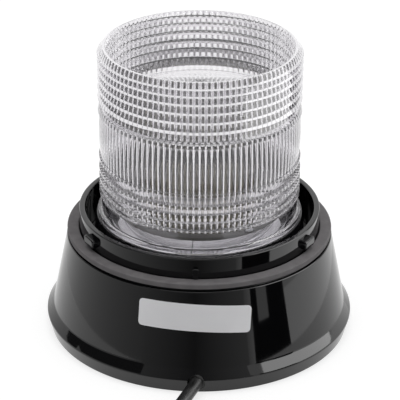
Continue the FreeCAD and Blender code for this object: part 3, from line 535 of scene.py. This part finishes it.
def makeCollar():
    s = collarSet
    outline = [
        (s["outside"], s["underside"], s["lowRound"]),
        (s["outside"], s["top"], s["rimRound"]),
        (s["inside"], s["top"], s["rimRound"]),
        (s["inside"], s["moatFloor"], s["moatRound"]),
        (s["floorHole"], s["moatFloor"], s["lowRound"]),
        (s["floorHole"], s["underside"], s["lowRound"])]
    collar = bareObject("domeCollar", spun(outline, s["steps"]))
    stops = []
    holes = []
    for k in range(s["lugs"]):
        turn = 360.0 * k / s["lugs"]
        for kind in ("lug", "rib"):
            stops.append(roundedBlock(s[kind + "Size"], s[kind + "Middle"], s[kind + "Round"],
                                      s[kind + "Azimuth"] + turn))
        holes.append(peg(s["screwHole"], s["underside"] - s["overrun"],
                         s["moatFloor"] + s["overrun"], polar(s["screwCircle"], turn)))
    carved(collar, stops, "UNION")
    carved(collar, holes, "DIFFERENCE")
    dressed(collar, "housing", glossBlack, ["dome_collar"])


makeCollar()
print("collar turned")


# Gasket that the dome presses on
gasketSet = {
    "inside": 63.9,
    "outside": 70.0,
    "low": 53.4,
    "high": 56.5,
    "round": 0.6,
    "seatRound": 0.2,
    "steps": 240,
}


def makeGasket():
    s = gasketSet
    outline = [(s["outside"], s["low"], s["round"]), (s["outside"], s["high"], s["round"]),
               (s["inside"], s["high"], s["round"]), (s["inside"], s["low"], s["seatRound"])]
    gasket = bareObject("domeGasket", spun(outline, s["steps"]))
    dressed(gasket, "housing", gasketFoam, ["dome_gasket"])


makeGasket()
print("gasket turned")


# Drum lens: prism rings outside, upright flutes inside, a floor disc across it
lensSet = {
    "edgeRadius": 52.9,
    "lowEdgeRadius": 52.6,
    # Prisms from the belt outwards: height, height of the nose, lean of the nose and of the slope
    "upperPrisms": [(7.6, 2.6, 14.0, 31.0), (5.4, 2.7, 24.0, 31.0), (5.05, 2.5, 24.0, 31.0),
                    (4.85, 2.4, 24.0, 31.0), (4.45, 2.2, 24.0, 31.0), (3.95, 2.0, 24.0, 31.0)],
    "lowerPrisms": [(6.6, 1.4, 5.0, 30.0), (4.8, 1.4, 5.0, 34.0), (4.6, 1.4, 5.0, 34.0),
                    (4.0, 1.4, 5.0, 34.0), (1.8, 0.9, 5.0, 34.0)],
    "rimHeight": 3.4,
    "rimRadius": 49.9,
    "lipHeight": 1.6,           # the flutes run out below the rim
    "beltTop": 122.6,
    "beltFoot": 97.5,
    "beltRadii": (52.05, 52.45, 51.75),     # top, middle, foot
    "beltSteps": 8,
    "neckRadius": 51.6,
    "neckTop": 75.7,
    "flangeRadius": 53.4,
    "flangeTop": 66.9,
    "flangeLow": 64.2,
    "skirtRadius": 50.9,
    "skirtLow": 58.6,
    "boreRadius": 49.0,
    "floorLow": 122.7,
    "floorTop": 123.9,
    "flutes": 100,
    "valleyRadius": 48.7,
    "wellCrest": 47.5,
    "drumCrest": 47.9,
    "stepsPerFlute": 8,
    "sharpAngle": 24.0,
    "edgeRound": 0.14,
    "floorFillet": 1.6,
    "neckRound": 0.3,
    "neckFillet": 0.8,
    "flangeRound": 0.5,
    "flangeLowRound": 0.3,
    "skirtRound": 0.2,
    "pegs": 3,
    "pegAzimuth": 40.0,
    "pegHalfAngle": 5.0,
    "pegRadius": 52.7,
    "pegLow": 59.2,
    "pegTop": 61.6,
    "slack": 0.05,              # a long spin leaves its rings of points a little off
    "levelSlack": 0.0001,
}


# The belt bulges between its edges
def beltArc():
    s = lensSet
    top, middle, foot = s["beltRadii"]
    points = []
    for k in range(s["beltSteps"] + 1):
        share = k / s["beltSteps"]
        straight = top + (foot - top) * share
        bulge = 4.0 * share * (1.0 - share) * (middle - (top + foot) / 2)
        z = s["beltTop"] + (s["beltFoot"] - s["beltTop"]) * share
        points.append((straight + bulge, z, 0.0))
    return points


# A prism's face goes from its edge over a steep nose to a slope that leans further in
def prismFace(radius, z, way, prism):
    height, nose, noseLean, slopeLean = prism
    knee = radius - nose * math.tan(math.radians(noseLean))
    root = knee - (height - nose) * math.tan(math.radians(slopeLean))
    return [(knee, z + way * nose, 0.0), (root, z + way * height, 0.0)]


def lensOutline():
    s = lensSet
    edge = s["edgeRound"]
    z = s["beltTop"] + sum(prism[0] for prism in s["upperPrisms"])
    top = z + s["rimHeight"]
    points = [
        (0.0, s["floorTop"], 0.0),
        (s["valleyRadius"], s["floorTop"], s["floorFillet"]),
        (s["valleyRadius"], top - s["lipHeight"], 0.0),
        (s["valleyRadius"], top, edge),
        (s["rimRadius"], top, edge),
        (s["edgeRadius"], z, edge)]
    for prism in reversed(s["upperPrisms"]):
        z -= prism[0]
        face = prismFace(s["edgeRadius"], z, 1.0, prism)
        points += face[::-1] + [(s["edgeRadius"], z, edge)]
    points += beltArc()
    z = s["beltFoot"]
    for prism in s["lowerPrisms"]:
        face = prismFace(s["lowEdgeRadius"], z, -1.0, prism)
        points += [(s["lowEdgeRadius"], z, edge)] + face
        z -= prism[0]
    return points + [
        (s["neckRadius"], s["neckTop"], s["neckRound"]),
        (s["neckRadius"], s["flangeTop"], s["neckFillet"]),
        (s["flangeRadius"], s["flangeTop"], s["flangeRound"]),
        (s["flangeRadius"], s["flangeLow"], s["flangeLowRound"]),
        (s["skirtRadius"], s["flangeLow"], 0.0),
        (s["skirtRadius"], s["pegTop"], 0.0),
        (s["skirtRadius"], s["pegLow"], 0.0),
        (s["skirtRadius"], s["skirtLow"], s["skirtRound"]),
        (s["boreRadius"], s["skirtLow"], s["skirtRound"]),
        (s["boreRadius"], s["neckTop"], 0.0),
        (s["valleyRadius"], s["neckTop"], 0.0),
        (s["valleyRadius"], s["floorLow"], 0.0),
        (0.0, s["floorLow"], 0.0)]


# A flute is a hollow with a sharp ridge at each side
def fluteRadius(azimuth, crest):
    s = lensSet
    share = (azimuth * s["flutes"] / 360.0) % 1.0
    return s["valleyRadius"] - (s["valleyRadius"] - crest) * (2.0 * share - 1.0) ** 2


def onPeg(face, middle):
    s = lensSet
    at = face.calc_center_median()
    off = (azimuthOf(at) - middle + 180.0) % 360.0 - 180.0
    outside = math.hypot(at.x, at.y) > (s["skirtRadius"] + s["boreRadius"]) / 2 * mm
    level = s["pegLow"] * mm < at.z < s["pegTop"] * mm
    return outside and level and abs(off) < s["pegHalfAngle"]


def raisePegs(bm):
    s = lensSet
    for k in range(s["pegs"]):
        middle = s["pegAzimuth"] + 360.0 * k / s["pegs"]
        chosen = [face for face in bm.faces if onPeg(face, middle)]
        made = bmesh.ops.extrude_face_region(bm, geom=chosen)
        for vert in made["geom"]:
            if isinstance(vert, bmesh.types.BMVert):
                grow = s["pegRadius"] * mm / math.hypot(vert.co.x, vert.co.y)
                vert.co.x *= grow
                vert.co.y *= grow
        bmesh.ops.delete(bm, geom=chosen, context="FACES")


def pressFlutes(bm):
    s = lensSet
    slack = s["slack"] * mm
    low = s["neckTop"] * mm - slack
    high = max(vert.co.z for vert in bm.verts) - s["lipHeight"] * mm + slack
    for vert in bm.verts:
        radius = math.hypot(vert.co.x, vert.co.y)
        inWell = vert.co.z > s["floorTop"] * mm - slack
        crest = s["wellCrest"] if inWell else s["drumCrest"]
        onWall = crest * mm < radius < s["valleyRadius"] * mm + slack
        if onWall and low < vert.co.z < high:
            wall = fluteRadius(azimuthOf(vert.co), crest) * mm
            if wall < radius:
                vert.co.x *= wall / radius
                vert.co.y *= wall / radius


# The rings between two faces of the outside stay sharp, though they meet at a flat angle
def crispRings(mesh):
    s = lensSet
    slack = s["slack"] * mm
    sharp = mesh.attributes["sharp_edge"].data
    for edge in mesh.edges:
        first, second = (mesh.vertices[k].co for k in edge.vertices)
        outside = math.hypot(first.x, first.y) > s["boreRadius"] * mm + slack
        level = abs(first.z - second.z) < s["levelSlack"] * mm
        if outside and level and first.z > s["neckTop"] * mm:
            sharp[edge.index].value = True


def makeLens():
    s = lensSet
    bm = spun(lensOutline(), s["flutes"] * s["stepsPerFlute"], closed=False)
    pressFlutes(bm)
    raisePegs(bm)
    bmesh.ops.recalc_face_normals(bm, faces=bm.faces[:])
    lens = bareObject("fresnelLens", bm)
    dressed(lens, "lens", clearLens, ["fresnel_lens"], s["sharpAngle"], False)
    crispRings(lens.data)


makeLens()
print("lens moulded")


# Bare silver label, flat in the cone's development, so that its ends dip round the cone
labelSet = {
    "width": 58.0,
    "height": 14.2,
    "corner": 2.0,
    "cornerSteps": 6,
    "thickness": 0.2,
    "azimuth": -1.7,
    "z": 39.0,
    "tilt": 2.9,        # right end lower
    "lift": 0.02,       # off the cone
    "strips": 40,
}


def makeLabel():
    s = labelSet
    h = housingSet
    bm = bmesh.new()
    shape = Matrix.Diagonal((s["width"] * mm, s["height"] * mm, 1.0, 1.0))
    bmesh.ops.create_grid(bm, x_segments=1, y_segments=1, size=0.5, matrix=shape)
    bmesh.ops.bevel(bm, geom=bm.verts[:], offset=s["corner"] * mm, offset_type="OFFSET",
                    affect="VERTICES", segments=s["cornerSteps"], profile=0.5, material=-1)
    for k in range(1, s["strips"]):
        across = (k / s["strips"] - 0.5) * s["width"] * mm
        bmesh.ops.bisect_plane(bm, geom=bm.verts[:] + bm.edges[:] + bm.faces[:],
                               plane_co=(across, 0, 0), plane_no=(1, 0, 0))
    bmesh.ops.solidify(bm, geom=bm.faces[:], thickness=s["thickness"] * mm)
    bmesh.ops.recalc_face_normals(bm, faces=bm.faces[:])
    lowest = min(vert.co.z for vert in bm.verts)
    slope = (h["bevelRadius"] - h["shoulderRadius"]) / (h["shoulderHeight"] - h["bevelHeight"])
    half = math.atan(slope)
    apex = h["bevelHeight"] + h["bevelRadius"] / slope
    middle = (apex - s["z"]) / math.cos(half)
    tilt = Matrix.Rotation(math.radians(-s["tilt"]), 3, "Z")
    for vert in bm.verts:
        lift = (vert.co.z - lowest) / mm + s["lift"]
        flat = tilt @ vert.co / mm
        slant = math.hypot(flat.x, middle - flat.y)
        turn = math.atan2(flat.x, middle - flat.y) / math.sin(half)
        radius = slant * math.sin(half) + lift * math.cos(half)
        z = apex - slant * math.cos(half) + lift * math.sin(half)
        vert.co = polar(radius, s["azimuth"] + math.degrees(turn), z)
    label = bareObject("bareLabel", bm)
    dressed(label, "housing", labelSilver)


makeLabel()
print("label laid")


# Floor and studio: a pale floor, a white surround, a softbox above, and cards round the object that
# paint reflections
# The cards give no diffuse light and cast no shadow: their glow is painted reflection and painted
# highlight, and where it is dark, painted shade
studioSet = {
    "floorSize": 8.0,           # metres, as are the next one and the softbox's
    "floorDrop": 0.0002,
    "floorColour": 0.40,
    "floorGlow": 0.72,
    "surround": 0.55,
    "softboxSize": 1.3,
    "softboxHeight": 1.5,
    "softboxPower": 9.0,
    "glassBounces": 48,         # light goes far along the lens's floor before it comes out
    "cardSteps": 24,
    "archSteps": 12,
    # Upright cards close round the base, seen only in reflections, which paint reflections and
    # painted dark reflections on the gloss: radius, heights, azimuths, glows
    "paintedReflectionTent": {
        "leftWhite": (150.0, 0.0, 32.0, -130.0, -76.0, 1.1, 0.8),
        "leftFade": (150.0, 0.0, 42.0, -76.0, -30.0, 0.8, 0.36),
        "frontFade": (104.0, 0.0, 50.0, -27.0, -2.0, 0.36, 0.09),
        "rightFade": (104.0, 0.0, 50.0, -2.0, 24.0, 0.09, 0.45),
        "lightEdge": (150.0, 0.0, 50.0, 27.0, 32.0, 0.5, 1.0),
        "blackPanel": (150.0, 0.0, 50.0, 32.0, 56.0, 0.0, 0.0),
        "panelStripe": (149.0, 22.0, 50.0, 36.0, 43.0, 0.78, 0.78),
        "rightWhite": (150.0, 0.0, 32.0, 56.0, 130.0, 1.6, 1.3),
    },
    "upperRadius": 600.0,
    # Curved cards farther out, seen only in reflections, which paint highlights and dark
    # reflections: azimuths, elevations, glow
    "paintedReflectionArches": {
        "darkCeiling": (-118.0, 36.0, 14.0, 68.0, 0.05),
        # Painted highlight: a glowing card that only reflections see, no lamp
        "paintedSideHighlight": (48.0, 112.0, 14.0, 52.0, 4.5),
        "darkEnd": (112.0, 128.0, 6.0, 30.0, 0.0),
    },
    # Curved dark cards that only rays through the lens see, which paint shade into the lens:
    # azimuths, elevations, glow
    "paintedShadeInLens": {
        # Painted shade: dark cards behind and above, seen only through the lens
        "rightRear": (115.0, 179.9, 1.0, 24.0, 0.08),
        "leftRear": (-179.9, -115.0, 1.0, 24.0, 0.08),
        "frontTop": (-45.0, 45.0, 58.0, 88.0, 0.05),
    },
}


def rayFlags(tree):
    path = tree.nodes.new("ShaderNodeLightPath")
    total = path.outputs["Is Camera Ray"]
    for name in ("Is Glossy Ray", "Is Transmission Ray"):
        add = tree.nodes.new("ShaderNodeMath")
        add.operation = "ADD"
        add.use_clamp = True
        tree.links.new(total, add.inputs[0])
        tree.links.new(path.outputs[name], add.inputs[1])
        total = add.outputs[0]
    return total


def makeFloor():
    s = studioSet
    bm = bmesh.new()
    bmesh.ops.create_grid(bm, x_segments=1, y_segments=1, size=s["floorSize"] / 2,
                          matrix=Matrix.Translation((0, 0, -s["floorDrop"])))
    floor = bareObject("floor", bm)
    material = bpy.data.materials.new("paleFloor")
    material.use_nodes = True
    tree = material.node_tree
    tree.nodes.clear()
    output = tree.nodes.new("ShaderNodeOutputMaterial")
    paint = tree.nodes.new("ShaderNodeBsdfDiffuse")
    paint.inputs["Color"].default_value = (s["floorColour"],) * 3 + (1.0,)
    glow = tree.nodes.new("ShaderNodeEmission")
    both = tree.nodes.new("ShaderNodeAddShader")
    strength = spread(tree, rayFlags(tree), 0.0, s["floorGlow"], 0.0, 1.0)
    tree.links.new(strength, glow.inputs["Strength"])
    tree.links.new(paint.outputs[0], both.inputs[0])
    tree.links.new(glow.outputs[0], both.inputs[1])
    tree.links.new(both.outputs[0], output.inputs["Surface"])
    floor.data.materials.append(material)


def makeSurround():
    world = bpy.data.worlds.new("whiteSurround")
    world.use_nodes = True
    scene.world = world
    tree = world.node_tree
    background = tree.nodes["Background"]
    background.inputs["Color"].default_value = (1.0, 1.0, 1.0, 1.0)
    strength = spread(tree, rayFlags(tree), studioSet["surround"], 1.0, 0.0, 1.0)
    tree.links.new(strength, background.inputs["Strength"])


def makeSoftbox():
    s = studioSet
    data = bpy.data.lights.new("softbox", "AREA")
    data.shape = "SQUARE"
    data.size = s["softboxSize"]
    data.energy = s["softboxPower"]
    softbox = bpy.data.objects.new("softbox", data)
    softbox.location = (0.0, 0.0, s["softboxHeight"])
    softbox.visible_transmission = False
    scene.collection.objects.link(softbox)


# The glow is a painted reflection level: seen only in reflections or through the lens, it lights
# nothing
def makeGlow(card, glows):
    layer = card.data.attributes.new("glow", "FLOAT", "POINT")
    layer.data.foreach_set("value", glows)
    material = bpy.data.materials.new(card.name)
    material.use_nodes = True
    tree = material.node_tree
    tree.nodes.clear()
    output = tree.nodes.new("ShaderNodeOutputMaterial")
    glow = tree.nodes.new("ShaderNodeEmission")
    level = tree.nodes.new("ShaderNodeAttribute")
    level.attribute_name = "glow"
    tree.links.new(level.outputs["Fac"], glow.inputs["Strength"])
    tree.links.new(glow.outputs[0], output.inputs["Surface"])
    card.data.materials.append(material)


# A card is a line of points swept round the axis, with a glow that fades from one end to the other;
# the glow is painted reflection, or painted shade through the lens, and lights nothing
def sweptCard(name, points, first, last, glows, throughLens=False):
    bm = bmesh.new()
    verts = [bm.verts.new(polar(radius, first, z)) for radius, z in points]
    for start, end in zip(verts, verts[1:]):
        bm.edges.new((start, end))
    bmesh.ops.spin(bm, geom=bm.verts[:] + bm.edges[:], cent=(0, 0, 0), axis=(0, 0, 1),
                   angle=math.radians(last - first), steps=studioSet["cardSteps"])
    card = bareObject(name, bm)
    levels = []
    for vert in card.data.vertices:
        share = (azimuthOf(vert.co) - first) / (last - first)
        levels.append(glows[0] + (glows[1] - glows[0]) * min(max(share, 0.0), 1.0))
    makeGlow(card, levels)
    card.visible_camera = False
    card.visible_diffuse = False
    card.visible_shadow = False
    card.visible_glossy = not throughLens
    card.visible_transmission = throughLens


def makeCards():
    s = studioSet
    # Painted reflections round the base: these cards light nothing and only reflections see them
    for name, (radius, low, high, first, last, firstGlow, lastGlow) in s["paintedReflectionTent"].items():
        sweptCard(name, [(radius, low), (radius, high)], first, last, (firstGlow, lastGlow))
    radius, steps = s["upperRadius"], s["archSteps"]
    # Painted highlights and dark reflections farther out, and painted shade seen through the lens
    for group in ("paintedReflectionArches", "paintedShadeInLens"):
        for name, (first, last, low, high, level) in s[group].items():
            line = []
            for k in range(steps + 1):
                elevation = math.radians(low + (high - low) * k / steps)
                line.append((radius * math.cos(elevation), radius * math.sin(elevation)))
            sweptCard(name, line, first, last, (level, level), group == "paintedShadeInLens")


makeFloor()
makeSurround()
makeSoftbox()
makeCards()
for kind in ("max_bounces", "glossy_bounces", "transmission_bounces"):
    setattr(scene.cycles, kind, studioSet["glassBounces"])
scene.view_settings.view_transform = "Standard"
print("studio lit")
